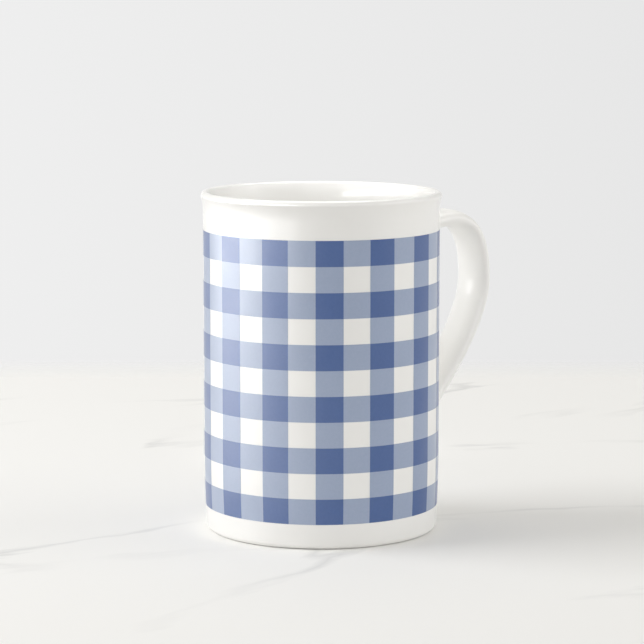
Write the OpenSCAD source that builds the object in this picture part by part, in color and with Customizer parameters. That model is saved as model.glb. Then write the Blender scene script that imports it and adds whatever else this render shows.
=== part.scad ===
// Straight-sided china mug with a strap handle and a gingham transfer round its wall.
// Millimetres. The mug stands on the plane z = 0 with its axis on Z, and the handle points along +X.

/* [Cup] */
// Height of the cup from the table to the top of its lip
cup_h = 106.5; // [104:0.5:115]
// Outer radius of the straight part of the wall
wall_r = 37; // [35:0.5:39]
// Thickness of the wall
wall_t = 2.6; // [2.2:0.1:3.4]
// Thickness of the floor
floor_t = 3.6; // [3:0.1:6]
// Radius of the inside corner between the wall and the floor
well_r = 8; // [4:0.5:12]

/* [Lip] */
// How far the lip stands out past the wall
lip_flare = 0.7; // [0.5:0.1:1.8]
// Radius of the rounded edge of the lip
lip_r = 1.35; // [0.9:0.05:1.45]
// Height over which the outside flares out to the lip
flare_h = 6.2; // [5:0.1:8]
// Height over which the inside opens out to the lip
mouth_h = 11; // [8:0.5:16]

/* [Foot] */
// How far the wall is drawn in at the table
foot_taper = 0.8; // [0.4:0.1:1.5]
// Height at which the wall begins to draw in
taper_h = 25; // [18:1:26]
// Radius of the rounded edge at the bottom of the wall
foot_edge_r = 1.6; // [1:0.1:2.5]
// Width of the flat ring that the mug stands on
foot_ring_w = 3; // [2:0.1:5]
// Depth of the hollow under the floor
foot_hollow = 1.6; // [1:0.1:3]

/* [Handle] */
// Height of the handle's centreline where it leaves the wall at the top
top_root_z = 93.8; // [90:0.1:95]
// Angle above the horizontal at which the handle leaves the wall at the top
top_rise = 17; // [5:1:25]
// Distance from the cup's axis to the centreline at the handle's widest point
reach = 60.8; // [56:0.1:64]
// Height of the handle's widest point
reach_z = 75.4; // [70:0.1:78]
// Height of the centreline where the handle meets the wall at the bottom
low_root_z = 33.4; // [33:0.1:42]
// Angle above the horizontal at which the handle leaves the wall at the bottom
low_rise = 52; // [40:1:56]
// Thickness of the strap, measured away from the cup
strap_t = 5.6; // [5:0.1:6.5]
// Width of the strap, measured round the cup
strap_w = 14.6; // [10:0.1:16]
// How square the strap's oval section is, from 2 for an ellipse
strap_squareness = 2.2; // [2:0.1:3]
// How much larger the strap is at its roots, as a fraction of its size
root_swell = 0.1; // [0:0.01:0.2]
// Radius of the fillet of slip round each root
slip_r = 1.6; // [1:0.1:2]
// Thickness of the slip between the handle's ends and the wall
slip_t = 0.3; // [0.2:0.05:0.5]

/* [Transfer] */
// Number of stripes up the wall, which begin and end with a blue one
row_count = 11; // [7:2:11]
// Number of stripes round the wall
column_count = 24; // [16:2:24]
// Height of one stripe
row_h = 7.89; // [6:0.01:7.9]
// Angle that one stripe takes up round the wall
column_a = 13.0909; // [11:0.0001:13.0909]
// Height of the lower edge of the print above the table
print_z = 7.85; // [6:0.05:8]
// Thickness of the fired ink
ink_t = 0.05; // [0.03:0.01:0.1]

/* [Hidden] */

china = "ivory";
slip = "oldlace";
pale_blue = "lightsteelblue";
deep_blue = "royalblue";

// Clearance that keeps two separate solids from sharing a surface
gap = 0.02;
facets = 220;

// The wall is drawn in along an arc that is upright at taper_h and ends in the rounded foot edge.
inner_r = wall_r - wall_t;
floor_z = foot_hollow + floor_t;
taper_r = (taper_h ^ 2 + foot_taper ^ 2) / (2 * foot_taper);
taper_c = [wall_r - taper_r, taper_h];
foot_a = asin((taper_h - foot_edge_r) / (taper_r - foot_edge_r));
foot_c = [taper_c.x + (taper_r - foot_edge_r) * cos(foot_a), foot_edge_r];
ring_inner_r = foot_c.x - foot_ring_w;
hollow_edge_r = 0.45 * foot_hollow;

// Outside, the flare is an arc tangent to the wall and to the lip's round. Inside, the mouth is another.
lip_c = [wall_r + lip_flare - lip_r, cup_h - lip_r];
flare_rise = flare_h - lip_r;
flare_r = (flare_rise ^ 2 + lip_flare ^ 2) / (2 * lip_flare) - lip_r;
flare_a = asin(flare_rise / (flare_r + lip_r));
flare_c = [wall_r + flare_r, cup_h - flare_h];
mouth_flare = lip_c.x - lip_r - inner_r;
mouth_rise = mouth_h - lip_r;
mouth_r = (mouth_rise ^ 2 + mouth_flare ^ 2) / (2 * mouth_flare) + lip_r;
mouth_a = asin(mouth_rise / (mouth_r - lip_r));
mouth_c = [inner_r + mouth_r, cup_h - mouth_h];

// The centreline is two curves that meet at the widest point, each with four control points [x, z].
top_pull = 16.5;
upper_pull = 18;
lower_pull = 15;
low_pull = 8.8;
top_root = [wall_r, top_root_z];
widest = [reach, reach_z];
low_root = [wall_r, low_root_z];
top_dir = [cos(top_rise), sin(top_rise)];
low_dir = [cos(low_rise), sin(low_rise)];
upper_curve = [top_root, top_root + top_pull * top_dir, widest + [0, upper_pull], widest];
lower_curve = [widest, widest - [0, lower_pull], low_root + low_pull * low_dir, low_root];

curve_steps = 22;
section_steps = 28;
fillet_steps = 6;
// Length of strap that is made inside the wall before it is trimmed to the wall's curve
buried = 5;
// The slip's fillet stops this many degrees short of the wall and of the strap, so its edges aren't feathered.
fillet_a = 12;

function arc(c, r, from, to, n) =
    [for (i = [0:n]) let (a = from + (to - from) * i / n) c + r * [cos(a), sin(a)]];

// Outer radius of the wall below the flare
function outer_r(z) = z >= taper_h ? wall_r : taper_c.x + sqrt(taper_r ^ 2 - (taper_h - z) ^ 2);

cup_profile = concat(
    arc(foot_c, foot_edge_r, -90, -foot_a, 6),
    arc(taper_c, taper_r, -foot_a, 0, 6),
    arc(flare_c, flare_r, 180, 180 - flare_a, 6),
    arc(lip_c, lip_r, -flare_a, 180 - mouth_a, 16),
    arc(mouth_c, mouth_r, 180 - mouth_a, 180, 6),
    arc([inner_r - well_r, floor_z + well_r], well_r, 0, -90, 10),
    [[0, floor_z], [0, foot_hollow]],
    arc([ring_inner_r - hollow_edge_r, foot_hollow - hollow_edge_r], hollow_edge_r, 90, 0, 4),
    arc([ring_inner_r + hollow_edge_r, hollow_edge_r], hollow_edge_r, 180, 270, 4)
);

function bezier(p, t) =
    (1 - t) ^ 3 * p[0] + 3 * (1 - t) ^ 2 * t * p[1] + 3 * (1 - t) * t ^ 2 * p[2] + t ^ 3 * p[3];

function bezier_dir(p, t) =
    let (d = (1 - t) ^ 2 * (p[1] - p[0]) + 2 * (1 - t) * t * (p[2] - p[1]) + t ^ 2 * (p[3] - p[2]))
    d / norm(d);

// A station is [point, direction, share of the root swell].
function swell(u) = 1 + root_swell * abs(2 * u - 1) ^ 3;
function stations(curve, u0, u1) =
    [for (i = [0:curve_steps]) let (t = i / curve_steps)
        [bezier(curve, t), bezier_dir(curve, t), swell(u0 + (u1 - u0) * t)]];

strap = concat(
    [[top_root - buried * top_dir, top_dir, swell(0)]],
    stations(upper_curve, 0, 0.5),
    [for (i = [1:curve_steps]) stations(lower_curve, 0.5, 1)[i]],
    [[low_root - buried * low_dir, -low_dir, swell(1)]]
);

function signed_power(x, n) = sign(x) * abs(x) ^ n;

// Oval across the strap, as [away from the cup, round the cup, outward direction].
// The outward direction is the gradient of (x / t) ^ n + (y / w) ^ n, where n is the squareness.
function strap_section(size) =
    let (t = strap_t * size / 2, w = strap_w * size / 2, n = strap_squareness)
    [for (i = [0:section_steps - 1])
        let (
            a = 360 * i / section_steps,
            x = signed_power(cos(a), 2 / n),
            y = signed_power(sin(a), 2 / n),
            gradient = [signed_power(x, n - 1) / t, signed_power(y, n - 1) / w]
        )
        [t * x, w * y, gradient / norm(gradient)]];

// A strap point in space, moved outwards by grow
function placed(station, s, grow) =
    let (p = station[0], d = station[1], n = [-d.y, d.x], away = s[0] + grow * s[2].x)
    [p.x + away * n.x, s[1] + grow * s[2].y, p.y + away * n.y];

function strap_ring(station, grow) = [for (s = strap_section(station[2])) placed(station, s, grow)];

// Solid through a list of rings of equal length
module skin(rings) {
    n = len(rings[0]);
    last = len(rings) - 1;
    polyhedron(
        points = [for (ring = rings, p = ring) p],
        faces = concat(
            [[for (j = [n - 1:-1:0]) j]],
            [for (i = [0:last - 1], j = [0:n - 1]) [
                i * n + j, i * n + (j + 1) % n, (i + 1) * n + (j + 1) % n, (i + 1) * n + j
            ]],
            [[for (j = [0:n - 1]) last * n + j]]
        ),
        convexity = 4
    );
}

module wall_cutter(r) {
    cylinder(r = r, h = cup_h, $fn = facets);
}

module strap_solid(grow, end_r) {
    difference() {
        skin([for (station = strap) strap_ring(station, grow)]);
        wall_cutter(end_r);
    }
}

// Outline of the slip from the wall to the strap, as [distance from the wall, height above the strap]
slip_outline = concat(
    [[-1, slip_r * (1 - cos(90 - fillet_a))]],
    [for (i = [fillet_steps:-1:0]) let (a = fillet_a + (90 - 2 * fillet_a) * i / fillet_steps)
        slip_r * [1 - sin(a), 1 - cos(a)]],
    [[slip_r * (1 - sin(fillet_a)), -1]]
);

// A point of the strap's outline s, at a distance d from the wall and moved along the wall by rise
function slip_point(root, dir, s, d, rise) =
    let (
        n = [-dir.y, dir.x],
        along = [s[2].y, s[2].x * n.y] / norm([s[2].y, s[2].x * n.y]),
        x = sqrt((wall_r + d) ^ 2 - s[1] ^ 2),
        z = root.y + s[0] * n.y + (x - root.x - s[0] * n.x) * dir.y / dir.x,
        y = s[1] + rise * along.x
    )
    [sqrt((wall_r + d) ^ 2 - y ^ 2), y, z + rise * along.y];

// Slip between one end of the strap and the wall, with its fillet round the strap
module slip_joint(root, dir) {
    difference() {
        skin([for (o = slip_outline)
            [for (s = strap_section(swell(0))) slip_point(root, dir, s, o.x, o.y)]]);
        wall_cutter(wall_r + gap);
        strap_solid(gap, wall_r + slip_t - gap);
    }
}

// Heights at which a patch bends with the wall
function patch_heights(z_low, z_high) =
    let (bend = min(z_high, taper_h), steps = z_low < taper_h ? 3 : 0)
    concat(
        [for (i = [0:steps - 1]) z_low + (bend - z_low) * i / steps],
        steps == 0 ? [z_low] : [],
        z_high > taper_h && z_low < taper_h ? [taper_h] : [],
        [z_high]
    );

// One stripe's share of the wall, as a sheet of ink between two heights
module ink_patch(z_low, z_high, a) {
    heights = patch_heights(z_low, z_high);
    rotate([0, 0, a])
        rotate_extrude(angle = column_a, $fn = facets)
            polygon(concat(
                [for (z = heights) [outer_r(z) + gap, z]],
                [for (i = [len(heights) - 1:-1:0]) [outer_r(heights[i]) + gap + ink_t, heights[i]]]
            ));
}

// Every patch of the print whose row and column are blue or white as asked
module ink_patches(blue_row, blue_column) {
    first_a = 180 - column_a * column_count / 2;
    for (row = [0:row_count - 1], column = [0:column_count - 1])
        if ((row % 2 == 0) == blue_row && (column % 2 == 0) == blue_column)
            ink_patch(print_z + row * row_h, print_z + (row + 1) * row_h, first_a + column * column_a);
}

module cup_body() {
    color(china) rotate_extrude($fn = facets) polygon(cup_profile);
}

module handle() {
    color(china) strap_solid(0, wall_r + slip_t);
}

module upper_handle_joint() {
    color(slip) slip_joint(top_root, top_dir);
}

module lower_handle_joint() {
    color(slip) slip_joint(low_root, low_dir);
}

module row_stripes() {
    color(pale_blue) ink_patches(true, false);
}

module column_stripes() {
    color(pale_blue) ink_patches(false, true);
}

module crossing_squares() {
    color(deep_blue) ink_patches(true, true);
}

cup_body();
handle();
upper_handle_joint();
lower_handle_joint();
row_stripes();
column_stripes();
crossing_squares();
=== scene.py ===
"""A glazed china mug with a gingham transfer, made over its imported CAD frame.

Metres. The mug stands on z = 0 with its axis on Z, and its handle points along +X.
"""

import math

import bpy
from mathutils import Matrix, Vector


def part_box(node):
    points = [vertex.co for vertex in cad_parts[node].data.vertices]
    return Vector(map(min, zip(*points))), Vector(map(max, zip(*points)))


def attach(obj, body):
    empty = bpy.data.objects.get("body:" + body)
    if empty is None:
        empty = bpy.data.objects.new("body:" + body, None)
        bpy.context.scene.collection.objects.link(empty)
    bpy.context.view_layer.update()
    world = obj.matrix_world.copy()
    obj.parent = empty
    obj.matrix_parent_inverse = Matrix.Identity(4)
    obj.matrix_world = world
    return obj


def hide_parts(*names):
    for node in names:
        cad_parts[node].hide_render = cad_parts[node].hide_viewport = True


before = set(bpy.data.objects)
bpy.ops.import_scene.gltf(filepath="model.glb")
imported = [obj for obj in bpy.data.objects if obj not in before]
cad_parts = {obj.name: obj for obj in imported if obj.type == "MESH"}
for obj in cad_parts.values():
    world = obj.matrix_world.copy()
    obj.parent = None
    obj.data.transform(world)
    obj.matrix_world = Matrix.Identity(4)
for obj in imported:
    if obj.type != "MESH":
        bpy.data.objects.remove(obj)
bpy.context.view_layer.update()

MM = 0.001

# ---------------------------------------------------------------- sizes

body_low, body_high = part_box("cup_body")
handle_low, handle_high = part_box("handle")
print_low, print_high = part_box("row_stripes")

# Cup
CUP_H = body_high.z
LIP_FLARE = 0.7 * MM
WALL_R = body_high.y - LIP_FLARE
WALL_T = 2.6 * MM
FLOOR_T = 3.6 * MM
WELL_R = 8.0 * MM
LIP_R = 1.35 * MM
FLARE_H = 6.2 * MM
MOUTH_H = 11.0 * MM
FOOT_TAPER = 0.8 * MM
TAPER_H = 25.0 * MM
FOOT_EDGE_R = 1.6 * MM
FOOT_RING_W = 3.0 * MM
FOOT_HOLLOW = 1.6 * MM
HOLLOW_EDGE_R = 0.45 * FOOT_HOLLOW
FLOOR_Z = FOOT_HOLLOW + FLOOR_T

# Handle. Its centreline is two curves in the XZ plane that meet at the widest point.
ROOT_SWELL = 0.1
STRAP_T = 5.6 * MM
STRAP_W = (handle_high.y - handle_low.y) / (1 + ROOT_SWELL)
STRAP_SQUARENESS = 2.2
TOP_ROOT_Z = 93.8 * MM
TOP_RISE = math.radians(17)
LOW_ROOT_Z = 33.4 * MM
LOW_RISE = math.radians(52)
REACH = handle_high.x - STRAP_T / 2
REACH_Z = 75.4 * MM
TOP_PULL = 16.5 * MM
UPPER_PULL = 18.0 * MM
LOWER_PULL = 15.0 * MM
LOW_PULL = 8.8 * MM

# Slip between the handle and the wall
SLIP_R = 1.6 * MM
SLIP_T = 0.3 * MM
CLEARANCE = 0.02 * MM

# Transfer
ROW_COUNT = 11
COLUMN_COUNT = 24
ROW_H = (print_high.z - print_low.z) / ROW_COUNT
COLUMN_A = math.radians(13.0909)
INK_T = 0.05 * MM

# Fineness of the meshes
CUP_SEGMENTS = 384
FLAT_STEPS = 12
WALL_STEPS = 16
WELL_STEPS = 20
MOUTH_STEPS = 14
LIP_STEPS = 28
FLARE_STEPS = 12
FOOT_STEPS = 12
RING_STEPS = 4
HOLLOW_STEPS = 8
STRAP_STEPS = 180
SEARCH_STEPS = 40
SECTION_STEPS = 80
FILLET_STEPS = 22
PATCH_STEPS = 14
PATCH_HEIGHT_STEPS = 4
SHARP_ANGLE = math.radians(50)


# ---------------------------------------------------------------- mesh tools

def arc(centre, radius, start, end, steps):
    """Points (r, z) along an arc, from one angle in degrees to another."""
    points = []
    for i in range(steps + 1):
        a = math.radians(start + (end - start) * i / steps)
        points.append((centre[0] + radius * math.cos(a), centre[1] + radius * math.sin(a)))
    return points


def line(start, end, steps):
    """Points (r, z) along a straight line."""
    points = []
    for i in range(steps + 1):
        t = i / steps
        points.append((start[0] + (end[0] - start[0]) * t, start[1] + (end[1] - start[1]) * t))
    return points


def skin(rings):
    """Vertices and faces through closed rings of equal length. A ring of one point closes an end."""
    vertices, faces, starts = [], [], []
    for ring in rings:
        starts.append(len(vertices))
        vertices.extend(ring)
    for i in range(len(rings) - 1):
        a, b = starts[i], starts[i + 1]
        na, nb = len(rings[i]), len(rings[i + 1])
        count = max(na, nb)
        for j in range(count):
            k = (j + 1) % count
            if na == 1:
                faces.append((a, b + k, b + j))
            elif nb == 1:
                faces.append((a + j, a + k, b))
            else:
                faces.append((a + j, a + k, b + k, b + j))
    return vertices, faces


def new_piece(name, vertices, faces, material, node):
    """A smooth-shaded piece that stands for one CAD node."""
    mesh = bpy.data.meshes.new(name)
    mesh.from_pydata(vertices, [], faces)
    mesh.validate()
    mesh.materials.append(material)
    mesh.shade_smooth()
    mesh.set_sharp_from_angle(angle=SHARP_ANGLE)
    piece = bpy.data.objects.new(name, mesh)
    bpy.context.scene.collection.objects.link(piece)
    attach(piece, "root")
    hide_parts(node)
    return piece


# ---------------------------------------------------------------- materials

CHINA_DARK = (0.915, 0.908, 0.888)
CHINA_LIGHT = (0.935, 0.93, 0.912)
BISQUE_DARK = (0.78, 0.765, 0.735)
BISQUE_LIGHT = (0.86, 0.85, 0.825)
PALE_THIN = (0.328, 0.396, 0.55)
PALE_FULL = (0.308, 0.376, 0.53)
DEEP_THIN = (0.042, 0.105, 0.31)
DEEP_FULL = (0.034, 0.095, 0.292)

# Sizes of what varies over a surface, and depths of its bumps
WAVE_SIZE = 14 * MM
WAVE_DEPTH = 0.035 * MM
RIPPLE_SIZE = 2.6 * MM
RIPPLE_DEPTH = 0.0016 * MM
GLOSS_SIZE = 9 * MM
CLOUD_SIZE = 22 * MM
MOTTLE_SIZE = 0.9 * MM
GRAIN_SIZE = 0.35 * MM
GRAIN_DEPTH = 0.02 * MM

# Gloss. A coat is the share of the sharp reflection that lies over the soft one.
CHINA_ROUGHNESS = (0.38, 0.46)
INK_ROUGHNESS = (0.4, 0.48)
BISQUE_ROUGHNESS = (0.62, 0.8)
COAT_ROUGHNESS = 0.09
CUP_COAT = 0.6
HANDLE_COAT = 0.3
GLAZE_IOR = 1.5


class Nodes:
    """Short calls for building one material's node tree."""

    def __init__(self, name):
        self.material = bpy.data.materials.new(name)
        self.material.use_nodes = True
        self.tree = self.material.node_tree
        self.shader = self.tree.nodes["Principled BSDF"]
        self.place = self.tree.nodes.new("ShaderNodeTexCoord").outputs["Object"]

    def link(self, output, socket):
        self.tree.links.new(output, socket)

    def noise(self, size, detail=2.0, roughness=0.5):
        """Noise from 0 to 1 whose features are about size metres across."""
        texture = self.tree.nodes.new("ShaderNodeTexNoise")
        texture.inputs["Scale"].default_value = 1 / size
        texture.inputs["Detail"].default_value = detail
        texture.inputs["Roughness"].default_value = roughness
        self.link(self.place, texture.inputs["Vector"])
        return texture.outputs["Fac"]

    def spread(self, value, low, high, source=(0.3, 0.7)):
        """value, taken from the range source to the range low to high."""
        node = self.tree.nodes.new("ShaderNodeMapRange")
        node.inputs["From Min"].default_value = source[0]
        node.inputs["From Max"].default_value = source[1]
        node.inputs["To Min"].default_value = low
        node.inputs["To Max"].default_value = high
        self.link(value, node.inputs["Value"])
        return node.outputs["Result"]

    def colours(self, factor, first, second):
        """A mix of two colours."""
        node = self.tree.nodes.new("ShaderNodeValToRGB")
        start, end = node.color_ramp.elements
        start.color, end.color = (*first, 1), (*second, 1)
        self.link(factor, node.inputs["Fac"])
        return node.outputs["Color"]

    def bump(self, height, distance, under=None):
        """A bump of this height in metres, on top of the bump that is under it."""
        node = self.tree.nodes.new("ShaderNodeBump")
        node.inputs["Strength"].default_value = 1.0
        node.inputs["Distance"].default_value = distance
        self.link(height, node.inputs["Height"])
        if under is not None:
            self.link(under, node.inputs["Normal"])
        return node.outputs["Normal"]


def glaze(nodes, roughness, coat):
    """The clear glaze over a surface: two gentle waves in it, and a gloss that is a little uneven.
    roughness is its lowest and highest value."""
    waves = nodes.bump(nodes.noise(WAVE_SIZE, detail=1.0), WAVE_DEPTH)
    ripples = nodes.bump(nodes.noise(RIPPLE_SIZE, detail=1.0), RIPPLE_DEPTH, under=waves)
    nodes.link(ripples, nodes.shader.inputs["Normal"])
    nodes.link(ripples, nodes.shader.inputs["Coat Normal"])
    uneven = nodes.spread(nodes.noise(GLOSS_SIZE, detail=3.0), *roughness)
    nodes.link(uneven, nodes.shader.inputs["Roughness"])
    nodes.shader.inputs["IOR"].default_value = GLAZE_IOR
    nodes.shader.inputs["Coat Weight"].default_value = coat
    nodes.shader.inputs["Coat Roughness"].default_value = COAT_ROUGHNESS
    nodes.shader.inputs["Coat IOR"].default_value = GLAZE_IOR


def china(name, coat):
    """White china under clear glaze."""
    nodes = Nodes(name)
    clouds = nodes.spread(nodes.noise(CLOUD_SIZE, detail=3.0), 0, 1)
    tone = nodes.colours(clouds, CHINA_DARK, CHINA_LIGHT)
    nodes.link(tone, nodes.shader.inputs["Base Color"])
    glaze(nodes, CHINA_ROUGHNESS, coat)
    return nodes.material


def bisque():
    """Bare fired clay, where the foot stands and has no glaze."""
    nodes = Nodes("bisque")
    grain = nodes.noise(GRAIN_SIZE, detail=4.0, roughness=0.6)
    tone = nodes.colours(nodes.spread(grain, 0, 1), BISQUE_DARK, BISQUE_LIGHT)
    nodes.link(tone, nodes.shader.inputs["Base Color"])
    nodes.link(nodes.spread(grain, *BISQUE_ROUGHNESS), nodes.shader.inputs["Roughness"])
    nodes.link(nodes.bump(grain, GRAIN_DEPTH), nodes.shader.inputs["Normal"])
    return nodes.material


def ink(name, thin, full):
    """Printed ink under clear glaze, a little thinner in some places than in others."""
    nodes = Nodes(name)
    mottle = nodes.noise(MOTTLE_SIZE, detail=4.0, roughness=0.6)
    tone = nodes.colours(nodes.spread(mottle, 0, 1), thin, full)
    nodes.link(tone, nodes.shader.inputs["Base Color"])
    glaze(nodes, INK_ROUGHNESS, CUP_COAT)
    return nodes.material


CHINA = china("china", CUP_COAT)
HANDLE_CHINA = china("handle_china", HANDLE_COAT)
BISQUE = bisque()
PALE_BLUE = ink("pale_blue", PALE_THIN, PALE_FULL)
DEEP_BLUE = ink("deep_blue", DEEP_THIN, DEEP_FULL)


# ---------------------------------------------------------------- cup

taper_r = (TAPER_H ** 2 + FOOT_TAPER ** 2) / (2 * FOOT_TAPER)
taper_c = (WALL_R - taper_r, TAPER_H)


def outer_r(z):
    """Outer radius of the wall below the flare."""
    return WALL_R if z >= TAPER_H else taper_c[0] + math.sqrt(taper_r ** 2 - (TAPER_H - z) ** 2)


def cup_profile():
    """Half outline of the cup, from the middle of its floor over the lip to the middle of its underside."""
    inner_r = WALL_R - WALL_T
    foot_a = math.degrees(math.asin((TAPER_H - FOOT_EDGE_R) / (taper_r - FOOT_EDGE_R)))
    foot_c = (taper_c[0] + (taper_r - FOOT_EDGE_R) * math.cos(math.radians(foot_a)), FOOT_EDGE_R)
    ring_inner_r = foot_c[0] - FOOT_RING_W

    lip_c = (WALL_R + LIP_FLARE - LIP_R, CUP_H - LIP_R)
    flare_rise = FLARE_H - LIP_R
    flare_r = (flare_rise ** 2 + LIP_FLARE ** 2) / (2 * LIP_FLARE) - LIP_R
    flare_a = math.degrees(math.asin(flare_rise / (flare_r + LIP_R)))
    mouth_flare = lip_c[0] - LIP_R - inner_r
    mouth_rise = MOUTH_H - LIP_R
    mouth_r = (mouth_rise ** 2 + mouth_flare ** 2) / (2 * mouth_flare) + LIP_R
    mouth_a = math.degrees(math.asin(mouth_rise / (mouth_r - LIP_R)))

    floor_r = inner_r - WELL_R
    inside = line((0.0, FLOOR_Z), (floor_r, FLOOR_Z), FLAT_STEPS)[:-1]
    inside += arc((floor_r, FLOOR_Z + WELL_R), WELL_R, -90, 0, WELL_STEPS)
    inside += line((inner_r, FLOOR_Z + WELL_R), (inner_r, CUP_H - MOUTH_H), WALL_STEPS)[1:-1]
    inside += arc((inner_r + mouth_r, CUP_H - MOUTH_H), mouth_r, 180, 180 - mouth_a, MOUTH_STEPS)
    lip = arc(lip_c, LIP_R, 180 - mouth_a, -flare_a, LIP_STEPS)[1:]

    flare_low = CUP_H - FLARE_H
    outside = arc((WALL_R + flare_r, flare_low), flare_r, 180 - flare_a, 180, FLARE_STEPS)[1:]
    outside += line((WALL_R, flare_low), (WALL_R, TAPER_H), WALL_STEPS)[1:-1]
    outside += arc(taper_c, taper_r, 0, -foot_a, FOOT_STEPS)
    outside += arc(foot_c, FOOT_EDGE_R, -foot_a, -90, FOOT_STEPS)[1:]

    edge_r = ring_inner_r + HOLLOW_EDGE_R
    hollow_r = ring_inner_r - HOLLOW_EDGE_R
    ring = line((foot_c[0], 0.0), (edge_r, 0.0), RING_STEPS)[1:-1]
    under = arc((edge_r, HOLLOW_EDGE_R), HOLLOW_EDGE_R, 270, 180, HOLLOW_STEPS)
    under += arc((hollow_r, FOOT_HOLLOW - HOLLOW_EDGE_R), HOLLOW_EDGE_R, 0, 90, HOLLOW_STEPS)
    under += line((hollow_r, FOOT_HOLLOW), (0.0, FOOT_HOLLOW), FLAT_STEPS)[1:]
    return inside + lip + outside + ring + under


def cup_body():
    """The cup, turned from its outline. The flat of its foot ring has no glaze."""
    rings = []
    turns = [2 * math.pi * j / CUP_SEGMENTS for j in range(CUP_SEGMENTS)]
    for r, z in reversed(cup_profile()):
        if r == 0:
            rings.append([(0.0, 0.0, z)])
        else:
            rings.append([(r * math.cos(a), r * math.sin(a), z) for a in turns])
    vertices, faces = skin(rings)
    piece = new_piece("glazed_cup", vertices, faces, CHINA, "cup_body")
    piece.data.materials.append(BISQUE)
    for polygon in piece.data.polygons:
        if polygon.center.z < CLEARANCE:
            polygon.material_index = 1
    return piece


# ---------------------------------------------------------------- handle

TOP_ROOT = Vector((WALL_R, TOP_ROOT_Z))
WIDEST = Vector((REACH, REACH_Z))
LOW_ROOT = Vector((WALL_R, LOW_ROOT_Z))
TOP_DIR = Vector((math.cos(TOP_RISE), math.sin(TOP_RISE)))
LOW_DIR = Vector((math.cos(LOW_RISE), math.sin(LOW_RISE)))
UPPER_CURVE = (TOP_ROOT, TOP_ROOT + TOP_PULL * TOP_DIR, WIDEST + Vector((0, UPPER_PULL)), WIDEST)
LOWER_CURVE = (WIDEST, WIDEST - Vector((0, LOWER_PULL)), LOW_ROOT + LOW_PULL * LOW_DIR, LOW_ROOT)

# Where along the strap its two ends are looked for, each from inside the wall to outside it
TOP_SEARCH = (-0.3, 0.25)
LOW_SEARCH = (1.3, 0.8)


def bezier(p, t):
    return (1 - t) ** 3 * p[0] + 3 * (1 - t) ** 2 * t * p[1] + 3 * (1 - t) * t ** 2 * p[2] + t ** 3 * p[3]


def bezier_dir(p, t):
    d = (1 - t) ** 2 * (p[1] - p[0]) + 2 * (1 - t) * t * (p[2] - p[1]) + t ** 2 * (p[3] - p[2])
    return d.normalized()


def station(u):
    """Point, direction and size of the strap at u, from 0 at the top root to 1 at the bottom one.
    Past either root the strap goes straight on into the wall."""
    size = 1 + ROOT_SWELL * min(1, abs(2 * u - 1)) ** 3
    if u < 0:
        return TOP_ROOT + u * (REACH - WALL_R) * TOP_DIR, TOP_DIR, size
    if u > 1:
        return LOW_ROOT - (u - 1) * (REACH - WALL_R) * LOW_DIR, -LOW_DIR, size
    if u < 0.5:
        return bezier(UPPER_CURVE, 2 * u), bezier_dir(UPPER_CURVE, 2 * u), size
    return bezier(LOWER_CURVE, 2 * u - 1), bezier_dir(LOWER_CURVE, 2 * u - 1), size


def signed_power(x, n):
    return math.copysign(abs(x) ** n, x)


def strap_section():
    """Oval across the strap, as its points in shares of the strap's half sizes."""
    turns = [2 * math.pi * i / SECTION_STEPS for i in range(SECTION_STEPS)]
    n = 2 / STRAP_SQUARENESS
    return [(signed_power(math.cos(a), n), signed_power(math.sin(a), n)) for a in turns]


SECTION = strap_section()


def section_point(share, size):
    """Place of an outline point across the strap: (away from the cup, round the cup)."""
    return share[0] * STRAP_T * size / 2, share[1] * STRAP_W * size / 2


def section_out(share):
    """Outward direction at an outline point of the strap: (away from the cup, round the cup)."""
    n = STRAP_SQUARENESS - 1
    return Vector((signed_power(share[0], n) / STRAP_T, signed_power(share[1], n) / STRAP_W)).normalized()


def strap_point(u, share):
    """Point of the handle's surface at u along the strap and at an outline point across it."""
    p, d, size = station(u)
    away, across = section_point(share, size)
    return Vector((p.x - away * d.y, across, p.y + away * d.x))


def leaves_wall(share, inside_u, outside_u, end_r):
    """The u at which one line of the strap comes out of a cylinder of radius end_r."""
    for _ in range(SEARCH_STEPS):
        u = (inside_u + outside_u) / 2
        p = strap_point(u, share)
        if math.hypot(p.x, p.y) < end_r:
            inside_u = u
        else:
            outside_u = u
    return (inside_u + outside_u) / 2


def handle():
    """The strap between its two ends, which follow the wall's curve."""
    end_r = WALL_R + SLIP_T
    spans = [(leaves_wall(s, *TOP_SEARCH, end_r), leaves_wall(s, *LOW_SEARCH, end_r)) for s in SECTION]
    rings = []
    for i in range(STRAP_STEPS + 1):
        t = i / STRAP_STEPS
        rings.append([tuple(strap_point(u0 + (u1 - u0) * t, s)) for s, (u0, u1) in zip(SECTION, spans)])
    top = (end_r, 0.0, TOP_ROOT_Z)
    low = (end_r, 0.0, LOW_ROOT_Z)
    vertices, faces = skin([[low]] + rings[::-1] + [[top]])
    return new_piece("glazed_handle", vertices, faces, HANDLE_CHINA, "handle")


# ---------------------------------------------------------------- slip round the handle's roots

def slip_point(root, d, share, distance, rise, size):
    """A point of the strap's outline at a distance from the wall, moved along the wall by rise."""
    away, across = section_point(share, size)
    n = Vector((-d.y, d.x))
    out = section_out(share)
    along = Vector((out[1], out[0] * n.y)).normalized()
    x = math.sqrt((WALL_R + distance) ** 2 - across ** 2)
    z = root.y + away * n.y + (x - root.x - away * n.x) * d.y / d.x
    y = across + rise * along.x
    return (math.sqrt((WALL_R + distance) ** 2 - y ** 2), y, z + rise * along.y)


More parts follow.
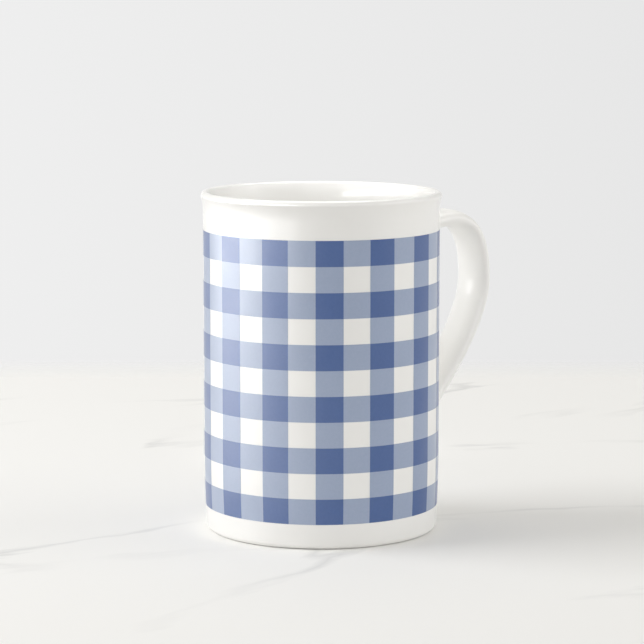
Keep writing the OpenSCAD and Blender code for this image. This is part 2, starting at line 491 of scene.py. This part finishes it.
def slip_joint(name, node, root, d):
    """The slip between one end of the strap and the wall, with its fillet round the strap."""
    size = 1 + ROOT_SWELL
    outline = [(CLEARANCE / 4, SLIP_R)]
    for i in range(1, FILLET_STEPS + 1):
        a = math.radians(90 * (1 - i / FILLET_STEPS))
        outline.append((SLIP_R * (1 - math.sin(a)), SLIP_R * (1 - math.cos(a))))
    outline.append((SLIP_T - CLEARANCE, CLEARANCE / 4))
    rings = [[slip_point(root, d, s, distance, rise, size) for s in SECTION] for distance, rise in outline]
    back = (WALL_R + CLEARANCE / 4, 0.0, root.y)
    front = (WALL_R + SLIP_T - CLEARANCE, 0.0, root.y)
    vertices, faces = skin([[front]] + rings[::-1] + [[back]])
    return new_piece(name, vertices, faces, HANDLE_CHINA, node)


# ---------------------------------------------------------------- printed gingham

def ink_patch(vertices, faces, z_low, z_high, first_a):
    """Adds one closed sheet of ink between two heights, one column wide."""
    start = len(vertices)
    columns, rows = PATCH_STEPS + 1, PATCH_HEIGHT_STEPS + 1
    for lift in (CLEARANCE + INK_T, CLEARANCE):
        for i in range(rows):
            z = z_low + (z_high - z_low) * i / PATCH_HEIGHT_STEPS
            for j in range(columns):
                a = first_a + COLUMN_A * j / PATCH_STEPS
                r = outer_r(z) + lift
                vertices.append((r * math.cos(a), r * math.sin(a), z))
    sheet = columns * rows
    for i in range(PATCH_HEIGHT_STEPS):
        for j in range(PATCH_STEPS):
            a = start + i * columns + j
            faces.append((a, a + 1, a + columns + 1, a + columns))
            faces.append((a + sheet + columns, a + sheet + columns + 1, a + sheet + 1, a + sheet))
    bottom = [start + j for j in range(columns)]
    right = [start + i * columns + PATCH_STEPS for i in range(rows)]
    top = [start + PATCH_HEIGHT_STEPS * columns + j for j in range(columns)][::-1]
    left = [start + i * columns for i in range(rows)][::-1]
    for side in (bottom, right, top, left):
        for a, b in zip(side, side[1:]):
            faces.append((b, a, a + sheet, b + sheet))


def ink_patches(name, node, material, row, column):
    """Every patch of the print whose row and column are blue (True) or white (False) as asked.
    The first row and the first column are blue, and every second one after them."""
    vertices, faces = [], []
    print_a = math.pi - COLUMN_A * COLUMN_COUNT / 2
    for i in range(ROW_COUNT):
        for j in range(COLUMN_COUNT):
            if (i % 2 == 0) == row and (j % 2 == 0) == column:
                z = print_low.z + i * ROW_H
                ink_patch(vertices, faces, z, z + ROW_H, print_a + j * COLUMN_A)
    return new_piece(name, vertices, faces, material, node)


# ---------------------------------------------------------------- stage

CAMERA_AZIMUTH = math.radians(-34.96)
CAMERA_DISTANCE = 0.8359
CAMERA_HEIGHT = 0.1796
AIM_HEIGHT = 0.0651
AIM_SIDE = 0.0002
CAMERA_LENS = 150.0
CAMERA_SENSOR = 36.0
CAMERA_NEAR = 0.01
CAMERA_FAR = 20.0

FLOOR_BEHIND = 0.35
FLOOR_FRONT = 0.4
FLOOR_REACH = 3.0
FLOOR_FADE = 0.05
FLOOR_ROUGHNESS = 0.7
FLOOR_GLOSS = 0.2
# Table colour near the camera and far behind the mug: painted shade near the camera, painted light towards
# the back
FLOOR_NEAR_PAINTED_SHADE = (0.83, 0.825, 0.81)
FLOOR_FAR_PAINTED_LIGHT = (0.9, 0.897, 0.885)
VEIN_GREY = (0.68, 0.68, 0.675)
VEIN_LENGTH = 0.3
VEIN_SPACING = 0.11
VEIN_WIDTH = 0.016
VEIN_TURN = math.radians(12)
VEIN_START = (1.3, 0.7, 0.0)
VEIN_DETAIL = 6.0
VEIN_DISTORTION = 0.6
VEIN_PATCHES = (0.45, 0.65)

# Brightness of the room's walls, as (share of a turn from the camera by the right, brightness)
WALLS = ((0.0, 0.42), (0.25, 0.72), (0.48, 0.8), (0.52, 0.86), (0.75, 0.66), (1.0, 0.42))
CEILING = (0.61, 0.6, 0.575)
CEILING_RISE = 0.3

# The light that falls into the cup
MOUTH_LIGHT_RISE = math.radians(50)
MOUTH_LIGHT_DISTANCE = 0.8
MOUTH_LIGHT_CONE = math.radians(7)
MOUTH_LIGHT_POWER = 5.0
MOUTH_LIGHT_RADIUS = 0.01
MOUTH_LIGHT_TARGET_R = 0.9 * WALL_R
MOUTH_LIGHT_TARGET_Z = 0.92 * CUP_H


def bearing(turn):
    """Level direction from the mug, turned anticlockwise from the camera's as seen from above, in degrees.
    Minus 90 is the left of the view, and 180 is behind the mug."""
    a = CAMERA_AZIMUTH + math.radians(turn)
    return Vector((math.sin(a), -math.cos(a), 0))


def camera():
    """The camera, in front of the mug and a little above it."""
    data = bpy.data.cameras.new("camera")
    data.lens = CAMERA_LENS
    data.sensor_width = CAMERA_SENSOR
    data.clip_start = CAMERA_NEAR
    data.clip_end = CAMERA_FAR
    place = bpy.data.objects.new("camera", data)
    bpy.context.scene.collection.objects.link(place)
    place.location = bearing(0) * CAMERA_DISTANCE + Vector((0, 0, CAMERA_HEIGHT))
    aim = bearing(90) * AIM_SIDE + Vector((0, 0, AIM_HEIGHT))
    place.rotation_euler = (aim - place.location).to_track_quat("-Z", "Y").to_euler()
    bpy.context.scene.camera = place


def veins(nodes, marble):
    """The marble's colour with thin grey veins, which are the places where a wandering noise is one half."""
    along = nodes.tree.nodes.new("ShaderNodeMapping")
    along.inputs["Location"].default_value = VEIN_START
    along.inputs["Rotation"].default_value = (0, 0, -CAMERA_AZIMUTH - VEIN_TURN)
    along.inputs["Scale"].default_value = (1 / VEIN_LENGTH, 1 / VEIN_SPACING, 1)
    nodes.link(nodes.place, along.inputs["Vector"])
    wander = nodes.tree.nodes.new("ShaderNodeTexNoise")
    wander.inputs["Scale"].default_value = 1.0
    wander.inputs["Detail"].default_value = VEIN_DETAIL
    wander.inputs["Distortion"].default_value = VEIN_DISTORTION
    nodes.link(along.outputs["Vector"], wander.inputs["Vector"])
    depth = nodes.tree.nodes.new("ShaderNodeMath")
    depth.operation = "PINGPONG"
    depth.inputs[1].default_value = 0.5
    nodes.link(wander.outputs["Fac"], depth.inputs[0])
    vein = nodes.spread(depth.outputs["Value"], 0, 1, source=(0.5 - VEIN_WIDTH, 0.5))
    patches = nodes.spread(nodes.noise(VEIN_SPACING), 0, 1, source=VEIN_PATCHES)
    share = nodes.tree.nodes.new("ShaderNodeMath")
    share.operation = "MULTIPLY"
    nodes.link(vein, share.inputs[0])
    nodes.link(patches, share.inputs[1])
    tint = nodes.tree.nodes.new("ShaderNodeMixRGB")
    tint.inputs["Color2"].default_value = (*VEIN_GREY, 1)
    nodes.link(share.outputs["Value"], tint.inputs["Fac"])
    nodes.link(marble, tint.inputs["Color1"])
    return tint.outputs["Color"]


def floor():
    """A pale table top, whose far edge is a little behind the mug and fades out. Its colour is painted
    darker near the camera and lighter towards the back, as painted shade and painted light.
    """
    nodes = Nodes("table")
    nodes.shader.inputs["Roughness"].default_value = FLOOR_ROUGHNESS
    nodes.shader.inputs["Specular IOR Level"].default_value = FLOOR_GLOSS
    back, side = bearing(180), bearing(90)
    behind = nodes.tree.nodes.new("ShaderNodeVectorMath")
    behind.operation = "DOT_PRODUCT"
    behind.inputs[1].default_value = back
    nodes.link(nodes.place, behind.inputs[0])
    away = behind.outputs["Value"]
    # Painted shade and light: the marble's colour is darker towards the camera and lighter towards the back
    tone = nodes.spread(away, 0, 1, source=(-FLOOR_BEHIND, FLOOR_BEHIND))
    marble = nodes.colours(tone, FLOOR_NEAR_PAINTED_SHADE, FLOOR_FAR_PAINTED_LIGHT)
    nodes.link(veins(nodes, marble), nodes.shader.inputs["Base Color"])
    edge = (FLOOR_BEHIND - FLOOR_FADE, FLOOR_BEHIND)
    nodes.link(nodes.spread(away, 1, 0, source=edge), nodes.shader.inputs["Alpha"])
    corners = [
        back * FLOOR_BEHIND - side * FLOOR_REACH,
        -back * FLOOR_FRONT - side * FLOOR_REACH,
        -back * FLOOR_FRONT + side * FLOOR_REACH,
        back * FLOOR_BEHIND + side * FLOOR_REACH,
    ]
    mesh = bpy.data.meshes.new("table")
    mesh.from_pydata([tuple(c) for c in corners], [], [(0, 1, 2, 3)])
    mesh.materials.append(nodes.material)
    table = bpy.data.objects.new("table", mesh)
    bpy.context.scene.collection.objects.link(table)


def softbox(name, turn, rise, distance, width, tall, power, diffuse=True, gloss=True):
    """A rectangular light that faces the middle of the mug, rise degrees above it."""
    data = bpy.data.lights.new(name, "AREA")
    data.shape = "RECTANGLE"
    data.size, data.size_y = width, tall
    data.energy = power
    lamp = bpy.data.objects.new(name, data)
    bpy.context.scene.collection.objects.link(lamp)
    middle = Vector((0, 0, CUP_H / 2))
    rise = math.radians(rise)
    towards = bearing(turn) * math.cos(rise) + Vector((0, 0, math.sin(rise)))
    lamp.location = middle + towards * distance
    lamp.rotation_euler = (-towards).to_track_quat("-Z", "Y").to_euler()
    lamp.visible_camera = False
    lamp.visible_diffuse = diffuse
    lamp.visible_glossy = gloss
    return lamp


def sheen_box(name, **settings):
    """A softbox that shows in the gloss only."""
    return softbox(name, diffuse=False, **settings)


def only_for(lamp, pieces):
    """Lets a light reach these pieces and nothing else, with nothing else in its way."""
    group = bpy.data.collections.new(lamp.name)
    for piece in pieces:
        group.objects.link(piece)
    lamp.light_linking.receiver_collection = group
    lamp.light_linking.blocker_collection = group


def mouth_light():
    """A narrow light from above the camera, which falls through the mouth on the far inside wall."""
    data = bpy.data.lights.new("mouth_light", "SPOT")
    data.energy = MOUTH_LIGHT_POWER
    data.spot_size = MOUTH_LIGHT_CONE
    data.spot_blend = 1.0
    data.shadow_soft_size = MOUTH_LIGHT_RADIUS
    lamp = bpy.data.objects.new("mouth_light", data)
    bpy.context.scene.collection.objects.link(lamp)
    target = bearing(180) * MOUTH_LIGHT_TARGET_R + Vector((0, 0, MOUTH_LIGHT_TARGET_Z))
    towards = bearing(0) * math.cos(MOUTH_LIGHT_RISE) + Vector((0, 0, math.sin(MOUTH_LIGHT_RISE)))
    lamp.location = target + towards * MOUTH_LIGHT_DISTANCE
    lamp.rotation_euler = (-towards).to_track_quat("-Z", "Y").to_euler()
    lamp.visible_glossy = False


def room_light():
    """Even light from a pale room, whose walls differ a little from each other and from the ceiling."""
    world = bpy.data.worlds.new("room")
    bpy.context.scene.world = world
    world.use_nodes = True
    tree = world.node_tree
    direction = tree.nodes.new("ShaderNodeTexCoord").outputs["Generated"]

    facing = tree.nodes.new("ShaderNodeMapping")
    facing.inputs["Rotation"].default_value = (0, 0, -math.pi / 2 - CAMERA_AZIMUTH)
    turn = tree.nodes.new("ShaderNodeTexGradient")
    turn.gradient_type = "RADIAL"
    walls = tree.nodes.new("ShaderNodeValToRGB")
    for _ in WALLS[2:]:
        walls.color_ramp.elements.new(0.5)
    for stop, (share, tone) in zip(walls.color_ramp.elements, WALLS):
        stop.position = share
        stop.color = (tone, tone, tone, 1)
    tree.links.new(direction, facing.inputs["Vector"])
    tree.links.new(facing.outputs["Vector"], turn.inputs["Vector"])
    tree.links.new(turn.outputs["Fac"], walls.inputs["Fac"])

    height = tree.nodes.new("ShaderNodeSeparateXYZ")
    tree.links.new(direction, height.inputs["Vector"])
    rise = tree.nodes.new("ShaderNodeMapRange")
    rise.inputs["From Max"].default_value = CEILING_RISE
    tree.links.new(height.outputs["Z"], rise.inputs["Value"])
    room = tree.nodes.new("ShaderNodeMixRGB")
    room.inputs["Color2"].default_value = (*CEILING, 1)
    tree.links.new(rise.outputs["Result"], room.inputs["Fac"])
    tree.links.new(walls.outputs["Color"], room.inputs["Color1"])
    tree.links.new(room.outputs["Color"], tree.nodes["Background"].inputs["Color"])


cup_pieces = [
    cup_body(),
    ink_patches("pale_row_stripes", "row_stripes", PALE_BLUE, row=True, column=False),
    ink_patches("pale_column_stripes", "column_stripes", PALE_BLUE, row=False, column=True),
    ink_patches(
        "deep_crossing_squares", "crossing_squares", DEEP_BLUE, row=True, column=True
    ),
]
handle_pieces = [
    handle(),
    slip_joint("upper_slip", "upper_handle_joint", TOP_ROOT, TOP_DIR),
    slip_joint("lower_slip", "lower_handle_joint", LOW_ROOT, LOW_DIR),
]

camera()
floor()
room_light()
mouth_light()
softbox("window", turn=-90, rise=44, distance=1.2, width=0.7, tall=0.5, power=6.8, gloss=False)
softbox("side_window", turn=-52, rise=45, distance=1.2, width=0.5, tall=0.5, power=0.5)
softbox("fill", turn=90, rise=22, distance=1.2, width=0.9, tall=0.7, power=3.0)
sheen_box("high_sheen", turn=-75, rise=50, distance=1.2, width=1.6, tall=1.2, power=8.0)
sheen_box("mouth_sheen", turn=-15, rise=20, distance=1.0, width=1.2, tall=0.35, power=4.0)
sheen_box("mouth_fill", turn=50, rise=20, distance=1.0, width=1.2, tall=0.35, power=3.0)
sheen_box("top_sheen", turn=180, rise=72, distance=1.0, width=0.8, tall=0.8, power=6.0)
sheen = sheen_box("sheen", turn=-88, rise=3.5, distance=1.0, width=1.1, tall=0.2, power=23.5)
soft_sheen = sheen_box("soft_sheen", turn=-41, rise=3.5, distance=1.0, width=0.66, tall=0.2, power=5.7)
handle_light = softbox("handle_light", turn=-100, rise=5, distance=1.0, width=0.3, tall=0.3, power=1.9)
only_for(sheen, cup_pieces)
only_for(soft_sheen, cup_pieces)
only_for(handle_light, handle_pieces)

bpy.context.scene.view_settings.view_transform = "Standard"
